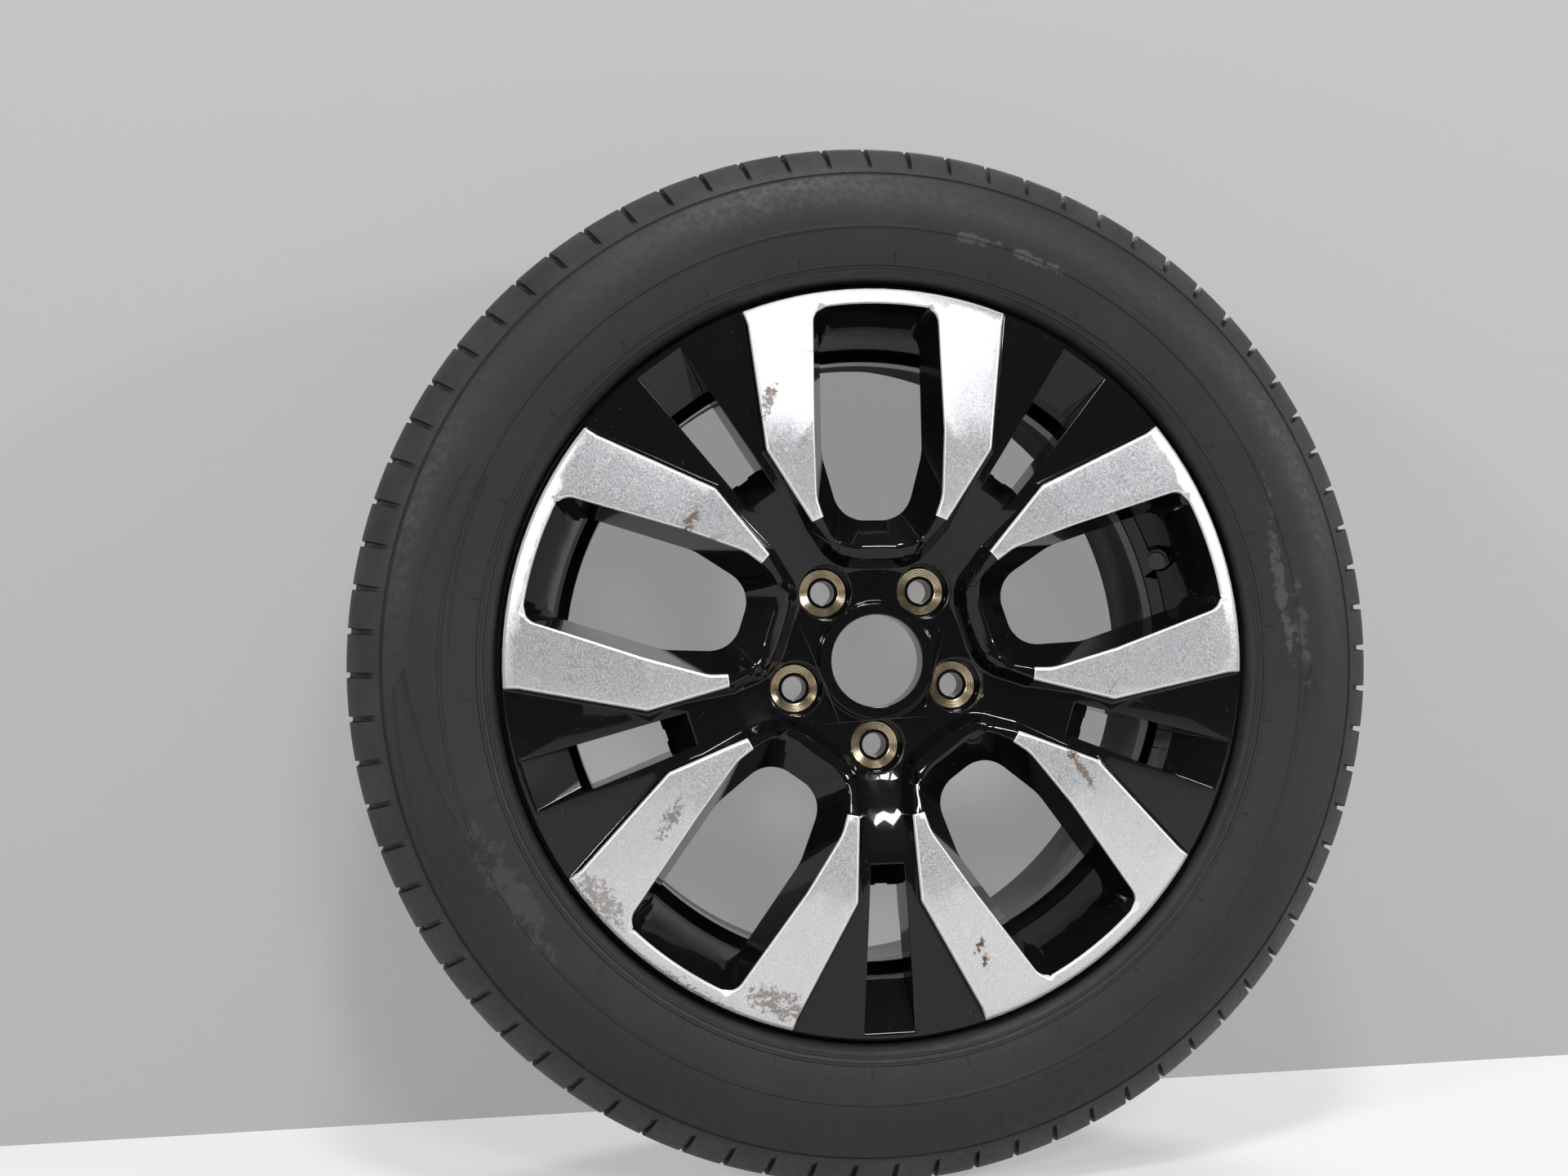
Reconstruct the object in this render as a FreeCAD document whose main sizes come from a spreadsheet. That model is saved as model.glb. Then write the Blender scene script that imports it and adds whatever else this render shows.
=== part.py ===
"""Seventeen inch five-spoke alloy wheel with its fitted tyre, valve and balance weights.

The wheel's axis is Y and its street side faces -Y. Z is up, and the origin is the centre of the rim.
A rim section is drawn as radius and place along the axis, and the face as seen from the street.
"""
import FreeCAD
import Part
import Sketcher
import math
import os
import re

V = FreeCAD.Vector

SIZES = [
    ("rim_width", 165.1, "between the flanges, six and a half inches"),
    ("bead_seat_r", 218.3, "bead seat of a seventeen inch rim"),
    ("turning_stock", 1.5, "metal turned off the street side flange and bead seat"),
    ("flange_height", 17.3, "flanges above the bead seat"),
    ("back_lip", 9.9, "thickness of the inboard flange"),
    ("well_depth", 17.3, "drop centre below the bead seat, tyre side"),
    ("well_front", -45.0, "street side corner of the drop centre"),
    ("well_back", -3.0, "inboard corner of the drop centre"),
    ("well_rise", 22.0, "run of the slope inboard of the drop centre"),
    ("barrel_wall", 5.5, "wall of the rim at the drop centre"),
    ("barrel_chamfer", 7.5, "step from the drop centre to the street side slope"),
    ("slope_wall", 3.3, "inside of the rim below the bead seat, behind the street side lip"),
    ("slope_front_y", -93.5, "start of the street side slope"),
    ("mouth_wall", 5.3, "inside of the rim below the bead seat, inboard of the drop centre"),
    ("lip_edge", 4.1, "outer edge of the turned face inside the flange"),
    ("lip_y", -96.0, "turned face at its outer edge"),
    ("band_width", 7.2, "bright band outside the windows"),
    ("band_y", -98.6, "turned face there"),
    ("kink_r", 149.0, "crease of the turned face, where the panels are bent"),
    ("kink_y", -103.2, "turned face at the crease"),
    ("tip_r", 98.0, "hub end of the silver panels"),
    ("tip_y", -98.0, "turned face at the hub end"),
    ("ridge_r", 62.0, "hub end of the ridge round a window"),
    ("ridge_y", -84.0, "ridge there"),
    ("panel_lift", 5.0, "panels above the black spoke face at the crease"),
    ("lip_lift", 2.6, "panels above the black lip"),
    ("shelf_r", 126.0, "black spoke face where it meets the slot"),
    ("shelf_y", -96.4, "black spoke face there"),
    ("valley_y", -89.0, "valley floor between two panel tips"),
    ("dish_r", 76.0, "outer slope of the hub dish"),
    ("dish_y", -79.0, "hub dish there"),
    ("floor_r", 58.0, "flat floor of the hub dish"),
    ("floor_y", -74.2, "hub dish floor"),
    ("collar_r", 36.8, "collar round the cap bore"),
    ("collar_y", -78.0, "top of that collar"),
    ("edge_break", 1.0, "small chamfer of turned edges"),
    ("cap_bore_r", 29.2, "bore for a centre cap"),
    ("cap_bore_end", -60.0, "end of the cap bore"),
    ("hub_bore_r", 32.55, "bore that centres the wheel on the hub"),
    ("hub_chamfer", 1.5, "lead-in of the hub bore"),
    ("hub_face_y", -44.0, "mounting face, 44 mm of offset"),
    ("pad_r", 76.0, "mounting face outside"),
    ("disc_back_y", -74.0, "back of the spokes"),
    ("spoke_count", 5, "spokes, windows, slots and lug holes"),
    ("panel_lip_x", 76.9, "half width of a panel pair at the lip"),
    ("panel_lip_inset", 3.7, "outer end of the panel pair inside the turned face's edge"),
    ("panel_kink_x", 69.6, "half width of a panel pair at the crease"),
    ("panel_kink_z", 131.7, "crease corner above the hub"),
    ("panel_tip_x", 39.5, "half width at the hub tips"),
    ("panel_tip_z", 90.3, "hub tips above the hub"),
    ("panel_end_x", 20.0, "half width of the ridge below the window"),
    ("panel_end_z", 75.5, "ridge below the window above the hub"),
    ("panel_end_round", 16.0, "round of the ridge corners"),
    ("panel_front_y", -104.0, "plane in which the panel outline is drawn"),
    ("panel_height", 31.0, "height of the panel block"),
    ("panel_draft", 30.0, "slope of the panel sides in degrees"),
    ("window_front_x", 41.6, "window half width in front"),
    ("window_back_x", 32.2, "window half width at the back of the spokes"),
    ("window_front_z", 52.3, "hub end of a window in front"),
    ("window_back_z", 89.8, "hub end of a window at the back"),
    ("window_front_y", -104.0, "front plane of a window"),
    ("window_back_y", -73.0, "back plane of a window"),
    ("window_reach", 3.2, "outer end of a window in its front plane beyond the bright band's start"),
    ("window_shoulder", 42.0, "height over which a window narrows to its hub end"),
    ("window_nose", 22.6, "half width by which a window narrows to its flat hub end"),
    ("window_bend_x", 0.37, "first bend of a window's hub end, as a share of its width"),
    ("window_bend_z", 0.09, "first bend as a share of the shoulder"),
    ("window_knee_x", 0.62, "second bend as a share of its width"),
    ("window_knee_z", 0.256, "second bend as a share of the shoulder"),
    ("window_corner", 5.0, "cut off the outer corners of a window"),
    ("slot_front_y", -100.0, "front plane of a spoke slot"),
    ("slot_back_y", -72.0, "back plane of a spoke slot"),
    ("slot_inner_front", 122.7, "hub end of a slot in front"),
    ("slot_inner_back", 142.4, "hub end of a slot at the back"),
    ("slot_run_out", 5.1, "rim end of a slot in front, outside the flange"),
    ("slot_ramp_end", 4.0, "rim end of a slot at the back, inside the drop centre"),
    ("slot_inner_x", 10.4, "half width of a slot at the hub end in front"),
    ("slot_outer_x", 17.2, "half width of a slot at the rim end in front"),
    ("slot_neck_x", 9.7, "half width of a slot at the hub end at the back"),
    ("lug_circle_r", 54.0, "radius of the lug hole circle"),
    ("lug_hole_r", 7.5, "lug hole"),
    ("lug_seat_r", 17.2, "recess and flat seat of a lug bolt"),
    ("lug_seat_y", -61.0, "seat of the lug bolts"),
    ("lug_front_y", -104.0, "plane in front of the lug holes"),
    ("valve_angle", 18.0, "place of the valve round the rim in degrees"),
    ("valve_tilt", 25.0, "lean of the valve towards the hub in degrees"),
    ("valve_drop", 11.7, "valve seat below the bead seat"),
    ("valve_wall", 4.0, "wall under the valve seat"),
    ("valve_hole_r", 5.65, "valve hole of the rim"),
    ("valve_spot_r", 8.6, "spot face round the valve"),
    ("valve_spot_run", 40.0, "length of the spot face cut"),
    ("rubber_r", 7.6, "head of the valve rubber inside the tyre"),
    ("rubber_head", 5.0, "height of that head"),
    ("rubber_gap", 0.15, "clearance of the valve rubber in the rim"),
    ("rubber_lip_r", 6.6, "valve rubber on the spot face"),
    ("rubber_end", 12.0, "street end of the valve rubber above its seat"),
    ("stem_r", 3.85, "valve stem"),
    ("stem_gap", 0.1, "clearance round the stem, in the rubber and under the cap"),
    ("stem_end", 20.0, "street end of the valve stem above the seat"),
    ("core_bore_r", 1.15, "bore of the stem that guides the core pin"),
    ("core_bore", 9.0, "depth of that bore"),
    ("pin_r", 0.8, "pin of the valve core"),
    ("pin_stand", 0.6, "pin below the end of the stem"),
    ("pin_travel", 1.5, "stroke of the pin"),
    ("cap_r", 5.4, "valve cap"),
    ("cap_start", 13.0, "open end of the valve cap above the seat"),
    ("cap_end", 24.6, "closed end of the valve cap above the seat"),
    ("cap_bore", 9.0, "depth of the valve cap's bore"),
    ("seal_gap", 0.2, "clearance of the seal in the valve cap"),
    ("weight_place", 18.0, "middle of the balance weights round the rim in degrees"),
    ("weight_span", 3.4, "length of a balance weight in degrees"),
    ("weight_pitch", 3.6, "spacing of the balance weights in degrees"),
    ("weight_front_y", -69.5, "street end of the balance weights"),
    ("weight_back_y", -51.5, "inboard end of the balance weights"),
    ("weight_thick", 3.2, "balance weight"),
    ("weight_gap", 0.3, "clearance between rim, tape and weights"),
    ("tape_thick", 0.8, "adhesive tape under the weights"),
    ("tape_inset", 0.6, "tape short of the weights at each end"),
    ("tyre_r", 329.5, "tyre at the crown"),
    ("tyre_half", 107.0, "half of the tyre's section width"),
    ("tyre_gap", 0.3, "clearance between tyre and rim"),
    ("flange_clear", 1.0, "clearance of the tyre outside the flanges"),
    ("foot_rise", 3.4, "foot of the side wall outside the flanges"),
    ("foot_half", 95.5, "half width of the tyre at that foot"),
    ("bulge_drop", 48.5, "widest place of the tyre below its crown"),
    ("shoulder_drop", 25.5, "foot of the tyre shoulder below its crown"),
    ("shoulder_half", 101.0, "half width of the tyre there"),
    ("tread_half", 80.0, "half width of the tread"),
    ("groove_place", 38.0, "outer tread grooves from the middle of the tread"),
    ("groove_width", 11.0, "width of a tread groove"),
    ("groove_depth", 6.0, "depth of a tread groove"),
    ("tread_wall", 13.0, "tyre under the tread"),
    ("side_wall", 26.0, "tyre side wall at its widest place"),
    ("bead_width", 16.0, "width of a tyre bead"),
    ("bead_rise", 12.0, "tyre bead above the flanges"),
]
NAMES = {alias for alias, size, note in SIZES}
DERIVED = {
    "flange_r": "bead_seat_r + flange_height",
    "well_r": "bead_seat_r - well_depth",
    "mouth_r": "bead_seat_r - mouth_wall",
    "slope_front_r": "bead_seat_r - slope_wall",
    "lip_r": "flange_r - lip_edge",
    "band_r": "lip_r - band_width",
    "panel_lip_r": "lip_r - panel_lip_inset",
    "window_front_r": "band_r + window_reach",
    "slot_outer_front": "flange_r + slot_run_out",
    "slot_outer_back": "well_r - slot_ramp_end",
    "valve_seat_r": "bead_seat_r - valve_drop",
    "bulge_r": "tyre_r - bulge_drop",
    "shoulder_r": "tyre_r - shoulder_drop",
}

doc = FreeCAD.newDocument("AlloyWheel")
sheet = doc.addObject("Spreadsheet::Sheet", "Sizes")
for row, (alias, size, note) in enumerate(SIZES, 1):
    sheet.set("A%d" % row, note)
    sheet.set("B%d" % row, str(size))
    sheet.setAlias("B%d" % row, alias)
doc.recompute()


def formula(text):
    """A formula of the sheet's sizes, with each derived size written out."""
    return re.sub(r"[a-z]\w*", written_out, text)


def written_out(word):
    """One name of a formula as the sheet's own sizes give it."""
    name = word[0]
    if name in DERIVED:
        return "(%s)" % formula(DERIVED[name])
    return "Sizes." + name if name in NAMES else name


def value(text):
    """What a formula of sizes comes to."""
    return float(sheet.evalExpression(formula(text)))


def bind(thing, path, text):
    """Ties a property to a formula of sizes."""
    thing.setExpression(path, formula(text))


def origin_feature(body, role):
    """A plane or an axis of a body's own origin."""
    return next(item for item in body.Origin.OriginFeatures if item.Role == role)


def new_body(label):
    body = doc.addObject("PartDesign::Body", label)
    body.Label = label
    return body


def new_sketch(body, name, role, offset="0"):
    """A sketch on one of the body's planes, moved along that plane's normal."""
    sketch = body.newObject("Sketcher::SketchObject", name)
    sketch.AttachmentSupport = [(origin_feature(body, role), "")]
    sketch.MapMode = "FlatFace"
    if offset != "0":
        bind(sketch, "AttachmentOffset.Base.z", offset)
    return sketch


def limit(sketch, constraint, name, text):
    """Adds a named dimension whose value is a formula of sizes."""
    index = sketch.addConstraint(constraint)
    sketch.renameConstraint(index, name)
    bind(sketch, "Constraints." + name, text)


def place_point(sketch, geometry, end, name, x, y, spot):
    """Dimensions one point of a sketch from the sketch's origin."""
    for kind, axis, text, size in (("DistanceX", -2, x, spot.x), ("DistanceY", -1, y, spot.y)):
        if text is None:
            continue
        if text == "0":
            sketch.addConstraint(Sketcher.Constraint("PointOnObject", geometry, end, axis))
        else:
            limit(sketch, Sketcher.Constraint(kind, -1, 1, geometry, end, size), name + kind[-1], text)


def outline(sketch, corners, turned=None):
    """Draws a closed outline. A corner is x, y and an optional round, each a formula of sizes.

    An edge listed in turned is an arc of that radius about the sketch's origin. The corners at its ends
    have no y of their own.
    """
    turned = turned or {}
    count = len(corners)
    spots = []
    for index, corner in enumerate(corners):
        x = value(corner[0])
        if corner[1] is None:
            radius = value(turned[index] if index in turned else turned[(index - 1) % count])
            spots.append(V(x, math.sqrt(radius ** 2 - x ** 2), 0))
        else:
            spots.append(V(x, value(corner[1]), 0))
    edges = []
    for index in range(count):
        here = spots[index]
        there = spots[(index + 1) % count]
        if index in turned:
            circle = Part.Circle(V(0, 0, 0), V(0, 0, 1), here.Length)
            first = math.atan2(here.y, here.x)
            last = math.atan2(there.y, there.x)
            backward = last < first
            curve = Part.ArcOfCircle(circle, min(first, last), max(first, last))
            ends = (2, 1) if backward else (1, 2)
        else:
            curve = Part.LineSegment(here, there)
            ends = (1, 2)
        edges.append((sketch.addGeometry(curve, False), ends))
    for index, (geometry, ends) in enumerate(edges):
        before, before_ends = edges[index - 1]
        sketch.addConstraint(Sketcher.Constraint("Coincident", before, before_ends[1], geometry, ends[0]))
        corner = corners[index]
        place_point(sketch, geometry, ends[0], "corner%d" % index, corner[0], corner[1], spots[index])
        if index in turned:
            sketch.addConstraint(Sketcher.Constraint("Coincident", geometry, 3, -1, 1))
            arc = Sketcher.Constraint("Radius", geometry, spots[index].Length)
            limit(sketch, arc, "arc%d" % index, turned[index])
    for index, corner in enumerate(corners):
        if len(corner) > 2:
            round_corner(sketch, *edges[index], "round%d" % index, corner[2])


def round_corner(sketch, edge, ends, name, size):
    """Rounds the start of a straight edge, and keeps the sharp corner as a dimensioned point."""
    radius = value(size)
    first_new = len(sketch.Geometry)
    sketch.fillet(edge, ends[0], radius, True, True)
    arc = next(place for place in range(first_new, len(sketch.Geometry))
               if isinstance(sketch.Geometry[place], Part.ArcOfCircle))
    limit(sketch, Sketcher.Constraint("Radius", arc, radius), name, size)


def mirrored(corners):
    """An outline's right half, from top to bottom, followed by its mirror image from bottom to top."""
    left = []
    for x, *rest in reversed(corners):
        left.append(("-(%s)" % x, *rest))
    return corners + left


def revolve(body, sketch, name, kind="PartDesign::Revolution"):
    """Turns a section about the wheel's axis."""
    feature = body.newObject(kind, name)
    feature.Profile = sketch
    feature.ReferenceAxis = (sketch, ["V_Axis"])
    feature.Angle = 360
    return feature


def ring_of(body, feature, name):
    """Repeats a feature once for each spoke."""
    pattern = body.newObject("PartDesign::PolarPattern", name)
    pattern.Originals = [feature]
    pattern.Axis = (origin_feature(body, "Y_Axis"), [""])
    pattern.Angle = 360
    bind(pattern, "Occurrences", "spoke_count")
    body.Tip = pattern
    return pattern


SLOPE_FOOT_R = "(well_r - barrel_wall + barrel_chamfer)"
SLOPE_FOOT_Y = "(well_front - 5 * edge_break)"


def slope_r(y):
    """The inside of the rim at a place along its street side slope."""
    fall = "(slope_front_r - %s) / (%s - slope_front_y)" % (SLOPE_FOOT_R, SLOPE_FOOT_Y)
    return "slope_front_r - (%s - slope_front_y) * %s" % (y, fall)


def volume_after(body):
    """Recomputes and returns the body's volume."""
    doc.recompute()
    return body.Shape.Volume


def wheel_section():
    """The rim and the black disc, from the cap bore out over the face and back along the inside."""
    half = "rim_width / 2"
    stock_r = "(bead_seat_r + turning_stock)"
    front = [
        ("cap_bore_r", "collar_y"),
        ("collar_r", "collar_y"),
        ("collar_r + edge_break", "floor_y"),
        ("floor_r", "floor_y"),
        ("dish_r", "dish_y"),
        ("tip_r", "valley_y"),
        ("shelf_r", "shelf_y"),
        ("kink_r", "kink_y + panel_lift"),
        ("lip_r", "lip_y + lip_lift"),
        ("flange_r + turning_stock", "lip_y + lip_lift"),
    ]
    tyre_side = [
        ("flange_r + turning_stock", "-%s + turning_stock" % half),
        (stock_r, "-%s + turning_stock" % half),
        (stock_r, "well_front - (%s - well_r) * tan(valve_tilt)" % stock_r),
        ("well_r", "well_front"),
        ("well_r", "well_back"),
        ("bead_seat_r", "well_back + well_rise"),
        ("bead_seat_r", half),
        ("flange_r", half),
    ]
    inside = [
        ("flange_r - edge_break", "%s + back_lip" % half),
        ("mouth_r", "%s + back_lip" % half),
        ("mouth_r", "well_back + well_rise"),
        ("well_r - barrel_wall", "well_back - edge_break"),
        ("well_r - barrel_wall", "well_front + 2 * edge_break"),
        (SLOPE_FOOT_R, SLOPE_FOOT_Y),
        (slope_r("disc_back_y"), "disc_back_y"),
        ("pad_r", "disc_back_y"),
        ("pad_r", "hub_face_y"),
        ("hub_bore_r + hub_chamfer", "hub_face_y"),
        ("hub_bore_r", "hub_face_y - hub_chamfer"),
        ("hub_bore_r", "cap_bore_end"),
        ("cap_bore_r", "cap_bore_end"),
    ]
    return front + tyre_side + inside


def make_wheel():
    """The casting: rim and disc, raised panel pairs, turned face, windows, slots and hub holes."""
    body = new_body("alloy_wheel")
    section = new_sketch(body, "WheelSection", "XY_Plane")
    outline(section, wheel_section())
    revolve(body, section, "RimAndDisc")
    base = volume_after(body)

    panels = new_sketch(body, "PanelOutline", "XZ_Plane", "-panel_front_y")
    corners = mirrored([
        ("panel_lip_x", None),
        ("panel_kink_x", "panel_kink_z"),
        ("panel_tip_x", "panel_tip_z"),
        ("panel_end_x", "panel_end_z", "panel_end_round"),
    ])
    outline(panels, corners, {len(corners) - 1: "panel_lip_r"})
    pad = body.newObject("PartDesign::Pad", "PanelPair")
    pad.Profile = panels
    pad.Reversed = True
    bind(pad, "Length", "panel_height")
    bind(pad, "TaperAngle", "panel_draft")
    ring_of(body, pad, "PanelPairs")
    check_growth("panels", base, volume_after(body))

    face = new_sketch(body, "TurnedFace", "XY_Plane")
    outline(face, [
        ("flange_r + 2 * edge_break", "lip_y + 2 * edge_break"),
        ("lip_r", "lip_y"),
        ("band_r", "band_y"),
        ("kink_r", "kink_y"),
        ("tip_r", "tip_y"),
        ("ridge_r", "ridge_y"),
        ("cap_bore_r", "collar_y"),
        ("cap_bore_r", "panel_front_y - edge_break"),
        ("flange_r + 2 * edge_break", "panel_front_y - edge_break"),
    ])
    raised = body.Shape.Volume
    revolve(body, face, "FaceTurning", "PartDesign::Groove")
    check_growth("turned face", volume_after(body), raised)

    uncut = body.Shape.Volume
    flange = new_sketch(body, "FlangeTurned", "XY_Plane")
    outline(flange, [
        ("lip_r", "lip_y"),
        ("flange_r", "lip_y + lip_lift + 2.5 * edge_break"),
        ("flange_r", "-rim_width / 2"),
        ("bead_seat_r", "-rim_width / 2"),
        ("bead_seat_r", "well_front"),
        ("flange_r + panel_height", "well_front"),
        ("flange_r + panel_height", "lip_y"),
    ])
    revolve(body, flange, "FlangeTurning", "PartDesign::Groove")
    check_growth("flange", volume_after(body), uncut)

    uncut = body.Shape.Volume
    window = body.newObject("PartDesign::SubtractiveLoft", "Window")
    window.Profile = window_sketch(body, "WindowFront", "window_front_y", "window_front_r")
    window.Sections = [window_sketch(body, "WindowBack", "window_back_y", slope_r("window_back_y"))]
    window.Ruled = True
    ring_of(body, window, "Windows")
    check_growth("windows", volume_after(body), uncut)

    uncut = body.Shape.Volume
    slot = body.newObject("PartDesign::SubtractiveLoft", "Slot")
    flare = "(slot_outer_x - slot_inner_x) / (slot_outer_front - slot_inner_front)"
    heel = "slot_neck_x + (slot_outer_back - slot_inner_back) * " + flare
    slot.Profile = slot_sketch(body, "SlotFront", "slot_front_y", "front", "slot_inner_x", "slot_outer_x")
    slot.Sections = [slot_sketch(body, "SlotBack", "slot_back_y", "back", "slot_neck_x", heel)]
    slot.Ruled = True
    ring_of(body, slot, "Slots")
    check_growth("slots", volume_after(body), uncut)

    uncut = body.Shape.Volume
    lug = turned_hole(body, "LugHole", "-lug_circle_r", [
        ("lug_seat_r", "lug_front_y"),
        ("lug_seat_r", "lug_seat_y"),
        ("lug_hole_r", "lug_seat_y"),
        ("lug_hole_r", "hub_face_y + edge_break"),
    ])
    ring_of(body, lug, "LugHoles")
    check_growth("lug holes", volume_after(body), uncut)

    uncut = body.Shape.Volume
    valve_cut(body, "ValveSpotFace", "valve_spot_r", "0", "valve_spot_run")
    valve_cut(body, "ValveHole", "valve_hole_r", "-2 * valve_wall", "3 * valve_wall")
    check_growth("valve hole", volume_after(body), uncut)
    return body


def turned_hole(body, name, height, steps):
    """A stepped round hole along the wheel's axis, at a height above the hub. Steps are radius and place."""
    sketch = new_sketch(body, name + "Section", "YZ_Plane")
    corners = [(steps[0][1], height)]
    corners += [(place, "%s + %s" % (height, radius)) for radius, place in steps]
    corners.append((steps[-1][1], height))
    outline(sketch, corners)
    front = value(steps[0][1])
    level = value(height)
    axis = sketch.addGeometry(Part.LineSegment(V(front, level, 0), V(0, level, 0)), True)
    sketch.addConstraint(Sketcher.Constraint("Horizontal", axis))
    sketch.addConstraint(Sketcher.Constraint("Coincident", axis, 1, 0, 1))
    length = Sketcher.Constraint("Distance", axis, abs(front))
    limit(sketch, length, "axis_length", "-(%s)" % steps[0][1])
    hole = body.newObject("PartDesign::Groove", name)
    hole.Profile = sketch
    hole.ReferenceAxis = (sketch, ["Axis0"])
    hole.Angle = 360
    return hole


def valve_place(height):
    """The frame of the valve in the face's plane, at a height above its seat. Its z points to the street."""
    lean = "sin(valve_tilt)"
    wall_r = "(valve_seat_r + valve_wall * %s - well_r)" % lean
    seat_y = "(well_front - %s * tan(valve_tilt) - valve_wall * cos(valve_tilt))" % wall_r
    radius = "(valve_seat_r - (%s) * %s)" % (height, lean)
    y = "(%s - (%s) * cos(valve_tilt))" % (seat_y, height)
    spot = "vector(%s * cos(valve_angle); %s * sin(valve_angle); -%s)" % (radius, radius, y)
    turn = "rotation(vector(sin(valve_angle); -cos(valve_angle); 0); valve_tilt)"
    return "placement(%s; %s)" % (spot, turn)


def valve_cut(body, name, radius, start, length):
    """A round cut along the valve's axis."""
    cut = body.newObject("PartDesign::SubtractiveCylinder", name)
    cut.AttachmentSupport = [(origin_feature(body, "XZ_Plane"), "")]
    cut.MapMode = "FlatFace"
    bind(cut, "AttachmentOffset", valve_place(start))
    bind(cut, "Radius", radius)
    bind(cut, "Height", length)


def slot_sketch(body, name, plane, side, inner, outer):
    """One of the two outlines between which a spoke slot is cut, below the hub."""
    sketch = new_sketch(body, name, "XZ_Plane", "-" + plane)
    outline(sketch, mirrored([
        (inner, "-slot_inner_" + side),
        (outer, "-slot_outer_" + side),
    ]))
    return sketch


def check_growth(name, small, large):
    """Stops where a feature has added or cut nothing."""
    if not small < large - 1:
        raise RuntimeError("no change of volume by the " + name)


def window_sketch(body, name, y, radius):
    """One of the outlines between which a window is cut, at a place along the axis."""
    share = "((%s - window_front_y) / (window_back_y - window_front_y))" % y
    half = "(window_front_x + (window_back_x - window_front_x) * %s)" % share
    foot_x = "(%s - window_nose)" % half
    foot_z = "(window_front_z + (window_back_z - window_front_z) * %s)" % share
    sketch = new_sketch(body, name, "XZ_Plane", "-(%s)" % y)
    corners = mirrored([
        (half + " - window_corner", None),
        (half, "sqrt((%s) ^ 2 - %s ^ 2) - window_corner" % (radius, half)),
        (half, foot_z + " + window_shoulder"),
        (foot_x + " + window_knee_x * window_nose", foot_z + " + window_knee_z * window_shoulder"),
        (foot_x + " + window_bend_x * window_nose", foot_z + " + window_bend_z * window_shoulder"),
        (foot_x, foot_z),
    ])
    outline(sketch, corners, {len(corners) - 1: radius})
    return sketch


def make_tyre():
    """The tyre, a hollow ring with three tread grooves that grips the bead seats from outside."""
    body = new_body("tyre")
    half = "rim_width / 2"
    outside = [
        ("bead_seat_r + tyre_gap", "%s - bead_width" % half),
        ("bead_seat_r + tyre_gap", "%s - tyre_gap" % half),
        ("flange_r + flange_clear", "%s - tyre_gap" % half),
        ("flange_r + foot_rise", "foot_half"),
        ("bulge_r", "tyre_half"),
        ("shoulder_r", "shoulder_half"),
        ("tyre_r", "tread_half"),
    ]
    floor = "tyre_r - groove_depth"
    grooves = [
        ("tyre_r", "groove_place + groove_width / 2"),
        (floor, "groove_place + groove_width / 2"),
        (floor, "groove_place - groove_width / 2"),
        ("tyre_r", "groove_place - groove_width / 2"),
        ("tyre_r", "groove_width / 2"),
        (floor, "groove_width / 2"),
    ]
    inside = [
        ("tyre_r - tread_wall", "tyre_half - side_wall"),
        ("flange_r + bead_rise", "tyre_half - side_wall"),
        ("flange_r + bead_rise", "%s - bead_width" % half),
    ]
    inboard = inside + outside + grooves
    section = new_sketch(body, "TyreSection", "XY_Plane")
    outline(section, inboard + [(r, "-(%s)" % y) for r, y in reversed(inboard)])
    revolve(body, section, "Tyre")
    return body


def valve_piece(label, corners):
    """A turned piece on the valve's axis. Corners are radius and height above the valve seat."""
    body = new_body(label)
    section = new_sketch(body, "Section" + label, "XY_Plane")
    outline(section, corners)
    revolve(body, section, "Turned" + label)
    bind(body, "Placement", "%s * %s * %s" % (FACE_FRAME, valve_place("0"), STANDING))
    return body


FACE_FRAME = "placement(vector(0; 0; 0); rotation(vector(1; 0; 0); 90))"
STANDING = "placement(vector(0; 0; 0); rotation(vector(1; 0; 0); 90))"


def make_valve():
    """The snap-in valve: rubber, stem with its bore, core pin and screwed cap."""
    hole = "valve_hole_r - rubber_gap"
    wall = "valve_wall + rubber_gap"
    bore = "stem_r + stem_gap"
    stem_foot = "-valve_wall - rubber_head"
    valve_piece("valve_rubber", [
        (bore, "-(%s) - rubber_head" % wall),
        ("rubber_r", "-(%s) - rubber_head" % wall),
        ("rubber_r", "-(%s)" % wall),
        (hole, "-(%s)" % wall),
        (hole, "rubber_gap"),
        ("rubber_lip_r", "rubber_gap"),
        ("rubber_lip_r", "rubber_end"),
        (bore, "rubber_end"),
    ])
    valve_piece("valve_stem", [
        ("0", stem_foot),
        ("stem_r", stem_foot),
        ("stem_r", "stem_end"),
        ("core_bore_r", "stem_end"),
        ("core_bore_r", "stem_end - core_bore"),
        ("0", "stem_end - core_bore"),
    ])
    valve_piece("core_pin", [
        ("0", "stem_end - core_bore + pin_travel + stem_gap"),
        ("pin_r", "stem_end - core_bore + pin_travel + stem_gap"),
        ("pin_r", "stem_end - pin_stand"),
        ("0", "stem_end - pin_stand"),
    ])
    valve_piece("valve_cap", [
        (bore, "cap_start"),
        ("cap_r", "cap_start"),
        ("cap_r", "cap_end"),
        ("0", "cap_end"),
        ("0", "cap_start + cap_bore"),
        (bore, "cap_start + cap_bore"),
    ])
    seal_r = "stem_r - seal_gap"
    valve_piece("cap_seal", [
        ("0", "stem_end + seal_gap"),
        (seal_r, "stem_end + seal_gap"),
        (seal_r, "cap_start + cap_bore - seal_gap"),
        ("0", "cap_start + cap_bore - seal_gap"),
    ])


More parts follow.
